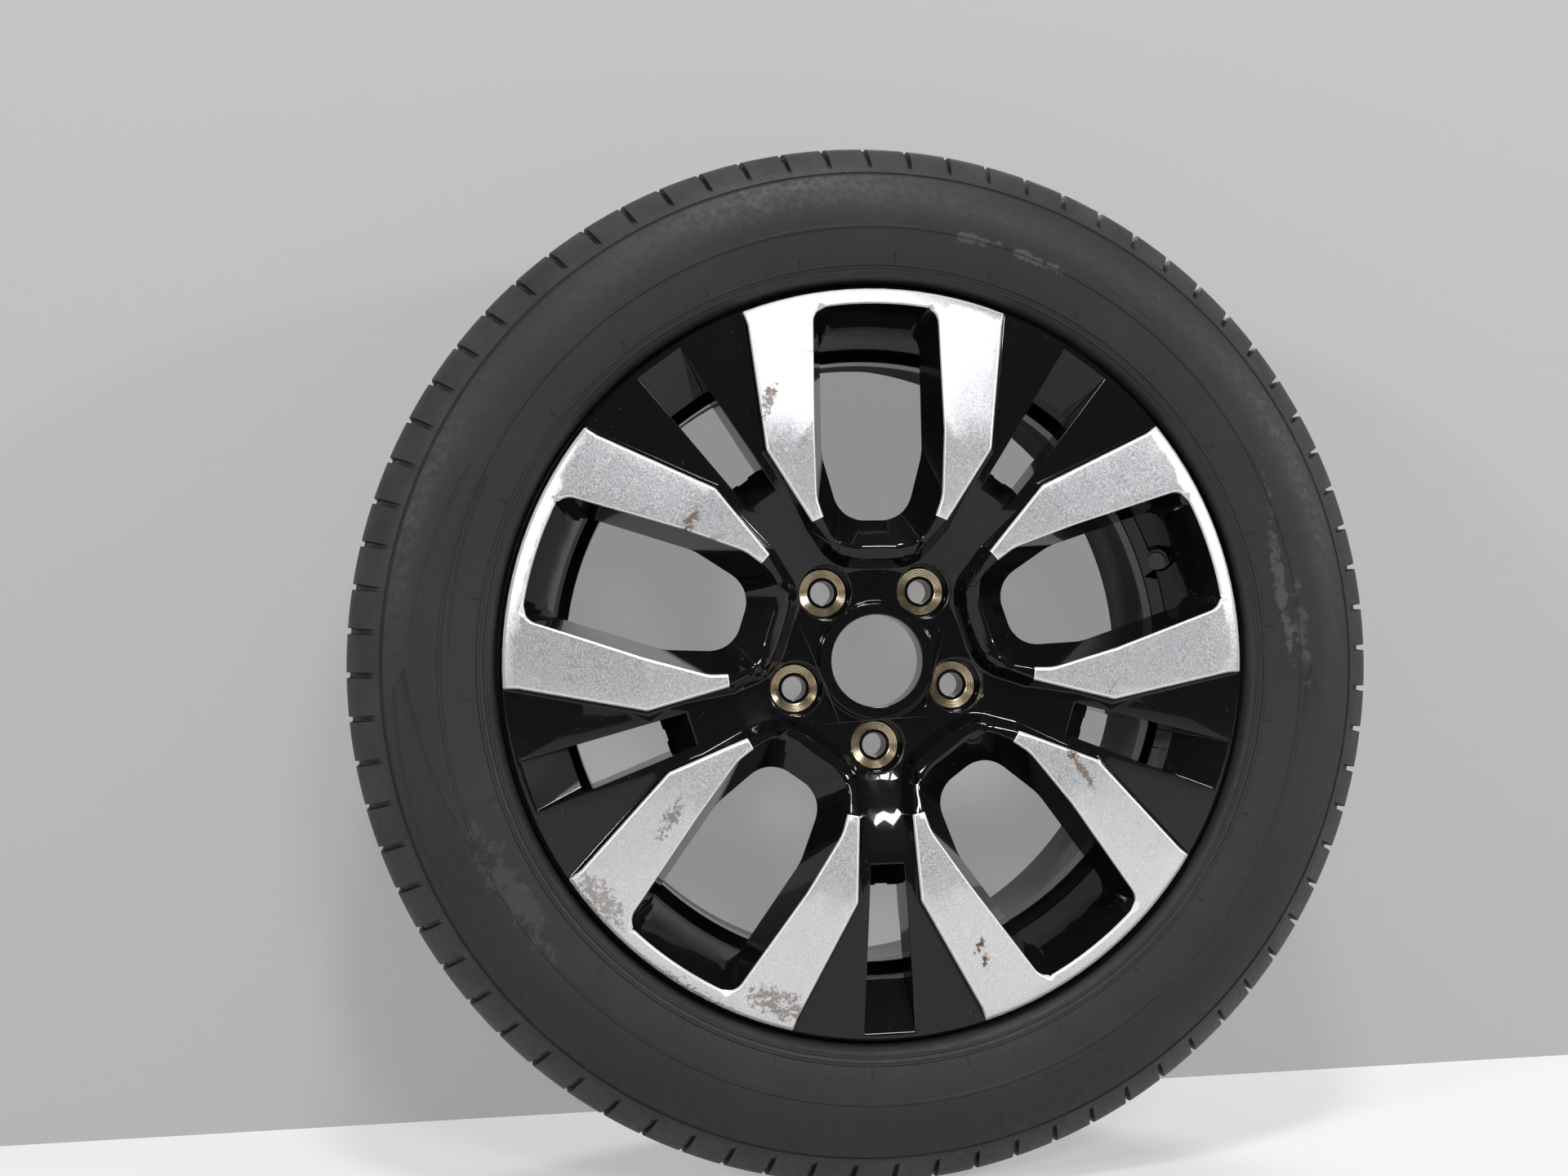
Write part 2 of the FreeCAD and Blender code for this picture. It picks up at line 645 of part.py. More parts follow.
def slope_strip(label, start, thick, inset, span, place):
    """A strip on the inside of the rim's street side slope, some degrees long, at a place round the rim."""
    body = new_body(label)
    front = "(weight_front_y + %s)" % inset
    back = "(weight_back_y - %s)" % inset
    section = new_sketch(body, "Section" + label, "XY_Plane")
    outline(section, [
        ("%s - %s" % (slope_r(front), start), front),
        ("%s - %s" % (slope_r(back), start), back),
        ("%s - %s - %s" % (slope_r(back), start, thick), back),
        ("%s - %s - %s" % (slope_r(front), start, thick), front),
    ])
    strip = revolve(body, section, "Strip" + label)
    strip.Midplane = True
    bind(strip, "Angle", span)
    bind(body, "Placement", "placement(vector(0; 0; 0); rotation(vector(0; 1; 0); %s))" % place)


def make_weights():
    """Four stick-on balance weights in a row on one tape."""
    count = 4
    span = "%d * weight_pitch" % count
    slope_strip("weight_tape", "weight_gap", "tape_thick", "tape_inset", span, "weight_place")
    start = "(2 * weight_gap + tape_thick)"
    for index in range(count):
        place = "weight_place + (%d - %d / 2) * weight_pitch" % (index, count - 1)
        slope_strip("weight_%d" % (index + 1), start, "weight_thick", "0", "weight_span", place)


def middle_normal(face):
    """The normal in the middle of a face's ranges."""
    u_start, u_end, v_start, v_end = face.ParameterRange
    return face.normalAt((u_start + u_end) / 2, (v_start + v_end) / 2)


def flat_faces(shape):
    """The same solid, with the flat faces that were lofted turned into plain planes."""
    faces = []
    for face in shape.Faces:
        plane = None
        if isinstance(face.Surface, Part.BSplineSurface):
            plane = face.findPlane(FLATNESS)
        if plane is None:
            faces.append(face)
            continue
        flat = Part.Face(face.Wires)
        if middle_normal(flat).dot(middle_normal(face)) < 0:
            flat.reverse()
        faces.append(flat)
    return Part.makeSolid(Part.makeShell(faces))


FLATNESS = 0.0001

make_wheel()
make_tyre()
make_valve()
make_weights()
doc.recompute()

pieces = [item for item in doc.Objects if item.TypeId == "PartDesign::Body"]
for item in doc.Objects:
    if "Invalid" in item.State or "Error" in item.State:
        raise RuntimeError("not built: " + item.Name)
for piece in pieces:
    if piece.Shape.isNull() or not piece.Shape.isValid() or piece.Shape.Volume <= 0:
        raise RuntimeError("bad shape: " + piece.Label)

os.makedirs("parts", exist_ok=True)
for piece in pieces:
    solid = flat_faces(piece.Shape)
    if not solid.isValid() or abs(solid.Volume / piece.Shape.Volume - 1) > FLATNESS:
        raise RuntimeError("not closed: " + piece.Label)
    solid.exportStep("parts/%s.step" % piece.Label)
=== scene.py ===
"""Looks of a two-tone alloy wheel with its used tyre, valve and balance weights.

The script is laid out as an add-on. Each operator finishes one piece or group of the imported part, and
main() registers the add-on and calls the operators in turn. The wheel's axis is Y, and its street side is
at -Y. Named lengths and profiles are in millimetres. Settings, the stage and the camera are in metres.
"""
import math

import bmesh
import bpy
from mathutils import Euler, Matrix, Vector


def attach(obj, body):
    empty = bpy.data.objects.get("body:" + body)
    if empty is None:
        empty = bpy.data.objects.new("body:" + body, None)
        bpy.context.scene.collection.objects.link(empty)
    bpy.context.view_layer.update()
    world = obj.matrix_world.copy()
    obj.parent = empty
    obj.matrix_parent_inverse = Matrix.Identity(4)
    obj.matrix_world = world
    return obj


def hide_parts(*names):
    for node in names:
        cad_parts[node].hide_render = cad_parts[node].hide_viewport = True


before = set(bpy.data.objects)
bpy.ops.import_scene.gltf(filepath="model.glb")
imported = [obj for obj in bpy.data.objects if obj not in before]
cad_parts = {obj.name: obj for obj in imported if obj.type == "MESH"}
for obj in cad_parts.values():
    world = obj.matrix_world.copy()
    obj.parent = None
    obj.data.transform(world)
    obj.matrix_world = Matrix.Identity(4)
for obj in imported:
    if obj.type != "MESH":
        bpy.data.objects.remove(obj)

bl_info = {
    "name": "Two-tone alloy wheel",
    "version": (1, 0, 0),
    "blender": (4, 5, 0),
    "location": "3D View > Sidebar > Wheel",
    "description": "Finishes an alloy wheel, its tyre, valve and balance weights",
    "category": "Object",
}

MM = 0.001
SPIN_GAP = 1e-7

# The turned face: radius and place along the axis of the corners between its cones
TURNED_PROFILE = [(98.0, -98.0), (149.0, -103.2), (224.3, -98.6), (227.9, -97.3)]
# Metal up to this far behind the turned face is bright, and from the second depth on it is a cut edge,
# rougher and painted paler as a highlight
TURNED_DEPTH = 1.7
CUT_EDGE_DEPTH = 0.12
PANEL_TIP_RADIUS = 97.0
# The lacquer ends between these places along the axis, outside this radius
LACQUER_END = (-30.0, -27.0)
BARREL_RADIUS = 120.0

SPOKES = 5
SPOKE_STEP = 360.0 / SPOKES
LUG_CIRCLE = 54.0
LUG_START = -90.0
# A lug seat is a flat ring with turning marks, from its rim down to its hole
SEAT_RIM = (15.4, -61.0)
SEAT_RADIUS = 15.2
SEAT_WIDTH = 5.0
SEAT_FACE = -61.35
SEAT_MARKS = 5
SEAT_MARK_HEIGHT = 0.25
SEAT_STEPS = 48
LUG_HOLE_PROFILE = [(10.2, SEAT_FACE), (9.8, -61.1), (7.45, -57.5), (7.45, -44.6)]
# Painted shade: the walls of the lug holes turn dark between these places along the axis
LUG_HOLE_SHADE = (-61.3, -60.6)

# Edges of the cast wheel that are rounded: turn in degrees, radius, and the hindmost place along the axis
WINDOW_TURNS = (9.0, 60.0)
WINDOW_RADII = (58.0, 222.0)
WINDOW_BACK = -76.0
# Length of a window's corner along the axis, as a share of the whole and in millimetres
WINDOW_LEAST_LEAN = 0.5
WINDOW_LEAST_RUN = 6.0
RIDGE_LEAST_TURN = 20.0
RIDGE_RADII = (56.0, 79.0)
RIDGE_BACK = -80.5
EDGE_LEAST_TURN = 25.0

TYRE_RUBBER = "UsedTyre"
# The tread's dust begins between these radii
TREAD_START = (303.0, 308.0)


class Nodes:
    """Adds nodes to one shader tree. A value is a socket of that tree or a plain number or colour."""

    def __init__(self, tree):
        self.tree = tree

    def add(self, kind, **settings):
        node = self.tree.nodes.new(kind)
        for name, setting in settings.items():
            setattr(node, name, setting)
        return node

    def feed(self, socket, value):
        if isinstance(value, bpy.types.NodeSocket):
            self.tree.links.new(value, socket)
        else:
            socket.default_value = value

    def math(self, operation, *values, clamp=False):
        node = self.add("ShaderNodeMath", operation=operation, use_clamp=clamp)
        for socket, value in zip(node.inputs, values):
            self.feed(socket, value)
        return node.outputs[0]

    def line(self, value, start, end, low=0.0, high=1.0):
        """A value mapped from one range to another and held at its ends."""
        node = self.add("ShaderNodeMapRange")
        for socket, setting in zip(node.inputs, (value, start, end, low, high)):
            self.feed(socket, setting)
        return node.outputs[0]

    def mix(self, share, first, second):
        node = self.add("ShaderNodeMix", data_type="RGBA")
        self.feed(node.inputs[0], share)
        self.feed(node.inputs[6], first)
        self.feed(node.inputs[7], second)
        return node.outputs[2]

    def blend(self, share, first, second):
        """A number between two numbers."""
        node = self.add("ShaderNodeMix", data_type="FLOAT")
        self.feed(node.inputs[0], share)
        self.feed(node.inputs[2], first)
        self.feed(node.inputs[3], second)
        return node.outputs[0]

    def noise(self, vector, scale, detail, roughness):
        node = self.add("ShaderNodeTexNoise")
        self.feed(node.inputs["Vector"], vector)
        self.feed(node.inputs["Scale"], scale)
        self.feed(node.inputs["Detail"], detail)
        self.feed(node.inputs["Roughness"], roughness)
        return node.outputs[0]

    def object_place(self):
        return self.add("ShaderNodeTexCoord").outputs["Object"]

    def times(self, first, *others):
        """The product of some numbers."""
        for other in others:
            first = self.math("MULTIPLY", first, other)
        return first

    def largest(self, first, *others):
        """The largest of some numbers."""
        for other in others:
            first = self.math("MAXIMUM", first, other)
        return first

    def use(self, name, **inputs):
        """Places a shared node group, building it the first time, and feeds its inputs by name."""
        group = bpy.data.node_groups.get(name) or GROUPS[name](name)
        node = self.add("ShaderNodeGroup", node_tree=group)
        for label, value in inputs.items():
            self.feed(node.inputs[label], value)
        return node.outputs


def new_group(name, inputs, outputs):
    """An empty node group with float sockets, and its builder, its inputs and its output node."""
    group = bpy.data.node_groups.new(name, "ShaderNodeTree")
    for label, default in inputs:
        socket = group.interface.new_socket(label, in_out="INPUT", socket_type="NodeSocketFloat")
        socket.default_value = default
    for label in outputs:
        group.interface.new_socket(label, in_out="OUTPUT", socket_type="NodeSocketFloat")
    nodes = Nodes(group)
    return group, nodes, nodes.add("NodeGroupInput").outputs, nodes.add("NodeGroupOutput").inputs


def polar_group(name):
    """Distance from the wheel's axis, place along it, and place sideways and upwards, in millimetres."""
    group, nodes, _, out = new_group(name, [], ["Radius", "Along", "Side", "Up"])
    split = nodes.add("ShaderNodeSeparateXYZ")
    nodes.feed(split.inputs[0], nodes.object_place())
    side, along, up = (nodes.math("DIVIDE", place, MM) for place in split.outputs)
    squares = nodes.math("ADD", nodes.times(side, side), nodes.times(up, up))
    nodes.feed(out["Radius"], nodes.math("SQRT", squares))
    nodes.feed(out["Along"], along)
    nodes.feed(out["Side"], side)
    nodes.feed(out["Up"], up)
    return group


def mark_group(name):
    """A ragged oval mark on the street side, used for smears of dirt on the wheel and for painted
    highlights on the tyre.
    """
    inputs = [("Side", 0.0), ("Up", 0.0), ("Length", 20.0), ("Width", 8.0), ("Turn", 0.0), ("Grain", 120.0)]
    group, nodes, given, out = new_group(name, inputs, ["Mask"])
    place = nodes.use("WheelPolar")
    across = nodes.math("SUBTRACT", place["Side"], given["Side"])
    above = nodes.math("SUBTRACT", place["Up"], given["Up"])
    turn = nodes.math("RADIANS", given["Turn"])
    cosine = nodes.math("COSINE", turn)
    sine = nodes.math("SINE", turn)
    along = nodes.math("ADD", nodes.times(across, cosine), nodes.times(above, sine))
    aside = nodes.math("SUBTRACT", nodes.times(above, cosine), nodes.times(across, sine))
    along = nodes.math("DIVIDE", along, given["Length"])
    aside = nodes.math("DIVIDE", aside, given["Width"])
    reach = nodes.math("ADD", nodes.times(along, along), nodes.times(aside, aside))
    inside = nodes.line(reach, 0.0, 1.0, low=1.0, high=0.0)
    grain = nodes.noise(nodes.object_place(), given["Grain"], detail=8.0, roughness=0.78)
    unevenness = nodes.times(nodes.math("SUBTRACT", grain, 0.5), 5.0)
    ragged = nodes.line(nodes.math("ADD", inside, unevenness), 0.6, 0.85)
    street_side = nodes.math("LESS_THAN", place["Along"], 0.0)
    nodes.feed(out["Mask"], nodes.times(ragged, nodes.line(inside, 0.0, 0.12), street_side))
    return group


def dust_group(name):
    """Patchy dust: a coarse noise broken up by a fine one."""
    group, nodes, given, out = new_group(name, [("Scale", 20.0), ("Amount", 0.5)], ["Mask"])
    place = nodes.object_place()
    fine_scale = nodes.times(given["Scale"], 18.0)
    coarse = nodes.noise(place, given["Scale"], detail=4.0, roughness=0.6)
    fine = nodes.noise(place, fine_scale, detail=5.0, roughness=0.7)
    both = nodes.times(nodes.line(coarse, 0.35, 0.7), nodes.line(fine, 0.3, 0.65))
    nodes.feed(out["Mask"], nodes.math("MULTIPLY", both, given["Amount"], clamp=True))
    return group


GROUPS = {"WheelPolar": polar_group, "RaggedMark": mark_group, "PatchyDust": dust_group}


def new_material(name):
    """A material with a Principled shader, its builder and the shader's inputs."""
    material = bpy.data.materials.new(name)
    material.use_nodes = True
    tree = material.node_tree
    return material, Nodes(tree), tree.nodes["Principled BSDF"].inputs


def dusted(nodes, clean, dust, scale, amount):
    """A clean colour with patches of dust on it."""
    return nodes.mix(nodes.use("PatchyDust", Scale=scale, Amount=amount)["Mask"], clean, dust)


def plain_material(name, colour, roughness, metallic=0.0, dust=None):
    """A material of one colour, with patchy dust on it where a colour of dust is given."""
    material, nodes, shader = new_material(name)
    shader["Roughness"].default_value = roughness
    shader["Metallic"].default_value = metallic
    if dust:
        nodes.feed(shader["Base Color"], dusted(nodes, colour, dust, scale=60.0, amount=0.5))
    else:
        shader["Base Color"].default_value = colour
    return material


DIRT_GRAIN = 300.0
DIRT_ON_FACE = [
    # side, up, length, width, turn in degrees, strength
    (-69.0, 162.0, 17.0, 5.0, 70.0, 0.8),
    (-46.0, 192.0, 9.0, 4.0, 20.0, 0.4),
    (-48.0, 138.0, 12.0, 4.0, 80.0, 0.5),
    (-119.0, 88.0, 14.0, 6.0, 60.0, 0.9),
    (-105.0, 77.0, 10.0, 3.0, 20.0, 0.5),
    (124.0, -69.0, 22.0, 5.0, -60.0, 0.85),
    (118.0, -62.0, 3.5, 3.5, 70.0, 1.0),
    (56.0, -178.0, 7.0, 3.6, 65.0, 1.0),
    (60.0, -187.0, 7.0, 3.6, 80.0, 1.0),
    (-134.0, -92.0, 19.0, 7.0, 60.0, 0.75),
    (-176.0, -141.0, 27.0, 14.0, -51.0, 0.6),
    (-70.0, -207.0, 27.0, 13.0, -19.0, 0.7),
    (-130.0, -197.0, 78.0, 10.0, -33.0, 0.6),
    (145.0, -20.0, 11.0, 1.2, 60.0, 0.6),
]

# Painted highlights: pale streaks laid along the side wall near its raised ring
HIGHLIGHT_GRAIN = 130.0
HIGHLIGHTS_ON_TYRE = [
    # side, up, length, width, turn in degrees, strength
    (256.0, 55.0, 80.0, 5.0, 98.0, 0.3),
    (270.0, 15.0, 45.0, 6.0, 94.0, 0.22),
    (98.0, 251.0, 34.0, 4.0, -22.0, 0.35),
    (62.0, 262.0, 22.0, 4.0, -12.0, 0.3),
    (-230.0, -130.0, 60.0, 14.0, 120.0, 0.15),
]


def ragged_mark(nodes, row, grain):
    """The mask of one mark from a list of them."""
    side, up, length, width, turn, strength = row
    mark = nodes.use("RaggedMark", Side=side, Up=up, Length=length, Width=width, Turn=turn, Grain=grain)
    return nodes.times(mark["Mask"], strength)


def turned_surface(nodes, radius):
    """Place of the turned face along the axis at a radius: the hindmost of its cones."""
    cones = []
    for (r0, y0), (r1, y1) in zip(TURNED_PROFILE, TURNED_PROFILE[1:]):
        slope = (y1 - y0) / (r1 - r0)
        cones.append(nodes.math("ADD", nodes.times(nodes.math("SUBTRACT", radius, r0), slope), y0))
    return nodes.largest(*cones)


def alloy_material(colours):
    """Gloss black lacquer, turned bright panels, a dull barrel and the dirt on them."""
    material, nodes, shader = new_material("TwoToneAlloy")
    polar = nodes.use("WheelPolar")
    radius = polar["Radius"]
    along = polar["Along"]
    depth = nodes.math("SUBTRACT", along, turned_surface(nodes, radius))
    outside_tips = nodes.math("GREATER_THAN", radius, PANEL_TIP_RADIUS)
    silver = nodes.times(nodes.math("LESS_THAN", depth, TURNED_DEPTH), outside_tips)
    edge = nodes.times(nodes.math("GREATER_THAN", depth, CUT_EDGE_DEPTH), silver)
    barrel = nodes.times(nodes.line(along, *LACQUER_END), nodes.math("GREATER_THAN", radius, BARREL_RADIUS))
    dirt = nodes.largest(*(ragged_mark(nodes, row, DIRT_GRAIN) for row in DIRT_ON_FACE))
    dirt = nodes.times(dirt, silver)

    place = nodes.object_place()
    grains = nodes.noise(place, 900.0, detail=2.0, roughness=0.6)
    cloud = nodes.noise(place, 14.0, detail=3.0, roughness=0.5)
    flakes = nodes.noise(place, 420.0, detail=2.0, roughness=0.5)
    bright = nodes.mix(nodes.line(grains, 0.3, 0.7), colours.panel_grain, colours.panel)
    bright = nodes.mix(nodes.line(cloud, 0.35, 0.7, low=0.0, high=0.25), bright, colours.panel_cloud)
    # The cut edges are rougher, and their paler colour is a painted highlight along the panels' outlines
    bright = nodes.mix(edge, bright, colours.panel_edge_and_highlight)
    flecked = nodes.line(flakes, 0.7, 0.76, low=0.0, high=0.35)
    black = nodes.mix(flecked, colours.lacquer, colours.lacquer_fleck)
    dull = dusted(nodes, colours.barrel, colours.barrel_dust, scale=25.0, amount=0.8)
    colour = nodes.mix(silver, nodes.mix(barrel, black, dull), bright)
    nodes.feed(shader["Base Color"], nodes.mix(dirt, colour, colours.dirt))

    bare = nodes.times(silver, nodes.math("SUBTRACT", 1.0, dirt))
    nodes.feed(shader["Metallic"], nodes.times(bare, 0.9))
    not_silver = nodes.math("SUBTRACT", 1.0, silver)
    nodes.feed(shader["Coat Weight"], nodes.times(not_silver, nodes.math("SUBTRACT", 1.0, barrel)))
    shader["Coat Roughness"].default_value = 0.03
    shader["Coat IOR"].default_value = 1.36
    shader["Specular IOR Level"].default_value = 0.1
    rough = nodes.blend(barrel, 0.14, 0.6)
    turned_rough = nodes.blend(edge, nodes.line(grains, 0.3, 0.7, low=0.3, high=0.42), 0.58)
    nodes.feed(shader["Roughness"], nodes.blend(silver, rough, turned_rough))
    return material


def tyre_material(colours):
    """Dusty rubber, browner on the tread, with pale streaks on the side wall that are painted highlights.
    """
    material, nodes, shader = new_material(TYRE_RUBBER)
    rubber = dusted(nodes, colours.rubber, colours.rubber_dust, scale=16.0, amount=0.7)
    worn = dusted(nodes, colours.tread, colours.tread_dust, scale=40.0, amount=0.9)
    colour = nodes.mix(nodes.line(nodes.use("WheelPolar")["Radius"], *TREAD_START), rubber, worn)
    # Painted highlights: pale streaks along the side wall
    for row in HIGHLIGHTS_ON_TYRE:
        colour = nodes.mix(ragged_mark(nodes, row, HIGHLIGHT_GRAIN), colour, colours.side_wall_highlight)
    nodes.feed(shader["Base Color"], colour)
    grain = nodes.noise(nodes.object_place(), 260.0, detail=4.0, roughness=0.6)
    nodes.feed(shader["Roughness"], nodes.line(grain, 0.3, 0.7, low=0.5, high=0.68))
    return material


def seat_material(colours):
    """Bare machined alloy of the lug seats, stained brown, with painted shade darkening the holes behind
    them.
    """
    material, nodes, shader = new_material("BareSeat")
    stain = nodes.use("PatchyDust", Scale=90.0, Amount=1.0)["Mask"]
    bare = nodes.mix(stain, colours.seat, colours.seat_stain)
    # Painted shade: deeper than the seat, the hole's wall takes a dark colour in place of the bare alloy
    shade = nodes.line(nodes.use("WheelPolar")["Along"], *LUG_HOLE_SHADE)
    nodes.feed(shader["Base Color"], nodes.mix(shade, bare, colours.lug_hole_painted_shade))
    nodes.feed(shader["Roughness"], nodes.blend(stain, 0.2, 0.5))
    shader["Metallic"].default_value = 0.85
    return material


def finish_piece(name, mesh, material, body):
    """Puts a finished mesh into the scene on a body of the frame."""
    piece = bpy.data.objects.new(name, mesh)
    bpy.context.scene.collection.objects.link(piece)
    mesh.materials.append(material)
    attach(piece, body)
    return piece


def dress_node(name, material):
    """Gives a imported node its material."""
    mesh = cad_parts[name].data
    mesh.materials.clear()
    mesh.materials.append(material)


def spun(profile, steps, centre=(0.0, 0.0, 0.0), closed=True):
    """A mesh turned round Y from a profile of radius and place along Y, in millimetres."""
    shape = bmesh.new()
    ring = [shape.verts.new(Vector((r, y, 0.0)) * MM) for r, y in profile]
    ends = ring[1:] + ring[:1] if closed else ring[1:]
    edges = [shape.edges.new(pair) for pair in zip(ring, ends)]
    bmesh.ops.spin(shape, geom=ring + edges, cent=(0.0, 0.0, 0.0), axis=(0.0, 1.0, 0.0), angle=math.tau,
                   steps=steps, use_merge=True)
    bmesh.ops.remove_doubles(shape, verts=shape.verts, dist=SPIN_GAP)
    bmesh.ops.recalc_face_normals(shape, faces=shape.faces)
    bmesh.ops.translate(shape, verts=shape.verts, vec=Vector(centre) * MM)
    return shape


def to_mesh(shape, name, angle=40.0):
    """A smooth mesh of a bmesh, with edges sharper than an angle kept sharp."""
    for face in shape.faces:
        face.smooth = True
    for edge in shape.edges:
        edge.smooth = edge.calc_face_angle(0.0) < math.radians(angle)
    mesh = bpy.data.meshes.new(name)
    shape.to_mesh(mesh)
    shape.free()
    return mesh


# Radius and place along the axis of the tyre's street half, from its bead to the middle of its tread
STREET_PROFILE = [
    (219.0, -67.0), (219.0, -82.0), (236.7, -82.5), (237.6, -89.0), (239.2, -94.2), (241.6, -97.0),
    (242.6, -97.7), (243.0, -98.7), (244.0, -99.0), (244.5, -98.5), (246.6, -99.5), (247.0, -100.4),
    (248.2, -100.7), (248.7, -100.1), (254.0, -101.9), (260.0, -103.4), (265.0, -104.6), (269.0, -105.4),
    (269.6, -106.2), (270.8, -106.4), (271.4, -105.9), (276.0, -106.6), (282.0, -106.95), (288.0, -106.4),
    (294.0, -104.9), (299.0, -103.0), (303.2, -100.9), (303.7, -99.8), (304.7, -99.2), (305.3, -99.7),
    (308.5, -97.6), (312.0, -94.8), (316.5, -90.6), (320.5, -86.4), (324.0, -81.6), (326.4, -76.8),
    (327.8, -71.0), (328.6, -62.0), (329.0, -52.0), (329.1, -43.6), (323.5, -43.4), (323.5, -32.6),
    (329.2, -32.4), (329.4, -18.0), (329.4, -5.6), (323.5, -5.4),
]
# The same for the inboard half of the inner wall, which the rim hides
INSIDE_PROFILE = [(316.0, 79.0), (248.0, 80.0), (247.0, 67.0)]
# Each pitch of the tread has columns of points at these shares of it, and two of them are a slot's floor
COLUMN_PLACES = (0.0, 0.02, 0.12, 0.14, 0.42, 0.71)
COLUMNS = len(COLUMN_PLACES)
SLOT_COLUMNS = (1, 2)
# A slot starts this far from the tyre's middle, is full depth above one radius and runs out at another
SLOT_START = 50.0
SLOT_FULL_RADIUS = 314.0
SLOT_END_RADIUS = 309.0
SLOT_END_DEPTH = 2.0
# A slot is cut towards this radius in the middle of the section, flatter by this share along the axis
SECTION_RADIUS = 270.0
SECTION_FLATNESS = 0.6


def mirrored(profile):
    """A profile on the other side of the tyre's middle, in the opposite order."""
    return [(r, -y) for r, y in reversed(profile)]


def slot_depth(radius, along, column, full):
    """Depth of a shoulder slot at a place of the tyre's section, for one column of a pitch."""
    if column not in SLOT_COLUMNS or abs(along) < SLOT_START:
        return 0.0
    if radius > SLOT_FULL_RADIUS:
        return full
    return SLOT_END_DEPTH if along < 0 and radius > SLOT_END_RADIUS else 0.0


# Lengths in metres that count as nothing, and the turn in degrees between faces that count as one
SHORTEST_EDGE = 0.0004
JOIN_GAP = 2e-6
BEVEL_CRUMB = 1e-5
FLAT_TURN = 0.05


def merged_copy(name):
    """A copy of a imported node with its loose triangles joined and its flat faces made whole."""
    shape = bmesh.new()
    shape.from_mesh(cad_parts[name].data)
    bmesh.ops.remove_doubles(shape, verts=shape.verts, dist=JOIN_GAP)
    bmesh.ops.dissolve_degenerate(shape, edges=shape.edges, dist=SHORTEST_EDGE)
    bmesh.ops.dissolve_limit(shape, angle_limit=math.radians(FLAT_TURN), verts=shape.verts,
                             edges=shape.edges)
    return shape


def turn_of(edge):
    """The angle between the two faces of an edge, in degrees."""
    return math.degrees(edge.calc_face_angle(0.0))


def place_of(edge):
    """Radius and place along the axis of the middle of an edge, in millimetres."""
    middle = (edge.verts[0].co + edge.verts[1].co) / 2 / MM
    return math.hypot(middle.x, middle.z), middle.y


def between(value, ends):
    """True for a value between two ends."""
    return ends[0] < value < ends[1]


def is_window_corner(edge):
    """True for an edge that runs through the face between two flats of a window's side."""
    radius, along = place_of(edge)
    way = (edge.verts[0].co - edge.verts[1].co) / MM
    steep = abs(way.y) > max(WINDOW_LEAST_LEAN * way.length, WINDOW_LEAST_RUN)
    return (between(turn_of(edge), WINDOW_TURNS) and steep and between(radius, WINDOW_RADII)
            and along < WINDOW_BACK)


def is_ridge(edge):
    """True for an edge of the ridges that run round the hub ends of the windows."""
    radius, along = place_of(edge)
    return turn_of(edge) > RIDGE_LEAST_TURN and between(radius, RIDGE_RADII) and along < RIDGE_BACK


def is_sharp(edge):
    """True for any edge that is still sharp."""
    return turn_of(edge) > EDGE_LEAST_TURN


def soften(shape, edges, width, segments):
    """Rounds some edges of a shape."""
    bmesh.ops.bevel(shape, geom=list(edges), offset=width, offset_type="OFFSET", segments=segments,
                    profile=0.5, affect="EDGES", clamp_overlap=False, material=-1, loop_slide=True)
    bmesh.ops.dissolve_degenerate(shape, edges=shape.edges, dist=BEVEL_CRUMB)


def length_setting(name, description, default):
    """A length that a user can set, in metres."""
    return bpy.props.FloatProperty(
        name=name, description=description, default=default, precision=4, unit="LENGTH")


def colour_setting(name, description, *rgb):
    """A colour that a user can set, as linear red, green and blue."""
    return bpy.props.FloatVectorProperty(
        name=name, description=description, default=(*rgb, 1.0), min=0.0, max=1.0, size=4, subtype="COLOR")


class WheelSizes(bpy.types.PropertyGroup):
    """Sizes that can be changed in the looks of the wheel."""

    window_round: length_setting("Window round", "Round of the corners inside a window", 0.0032)
    ridge_round: length_setting("Ridge round", "Round of the ridges at the hub", 0.0022)
    edge_round: length_setting("Edge round", "Round of the other edges of the cast wheel", 0.0009)
    pitches: bpy.props.IntProperty(
        name="Tread pitches", description="Shoulder slots round the tyre", default=76, min=3)
    slot_depth: length_setting("Slot depth", "Depth of the shoulder slots", 0.0045)
    rib_width: length_setting("Rib width", "Width of a rib of the serrated bands", 0.0006)
    rib_height: length_setting("Rib height", "Height of a rib of the serrated bands", 0.0006)
    floor_z: length_setting("Floor", "Height of the floor", -0.3296)
    wall_y: length_setting("Wall", "Place of the wall behind the wheel", 0.125)
    lens: bpy.props.FloatProperty(
        name="Lens", description="Focal length of the camera in millimetres", default=37.5, unit="CAMERA")


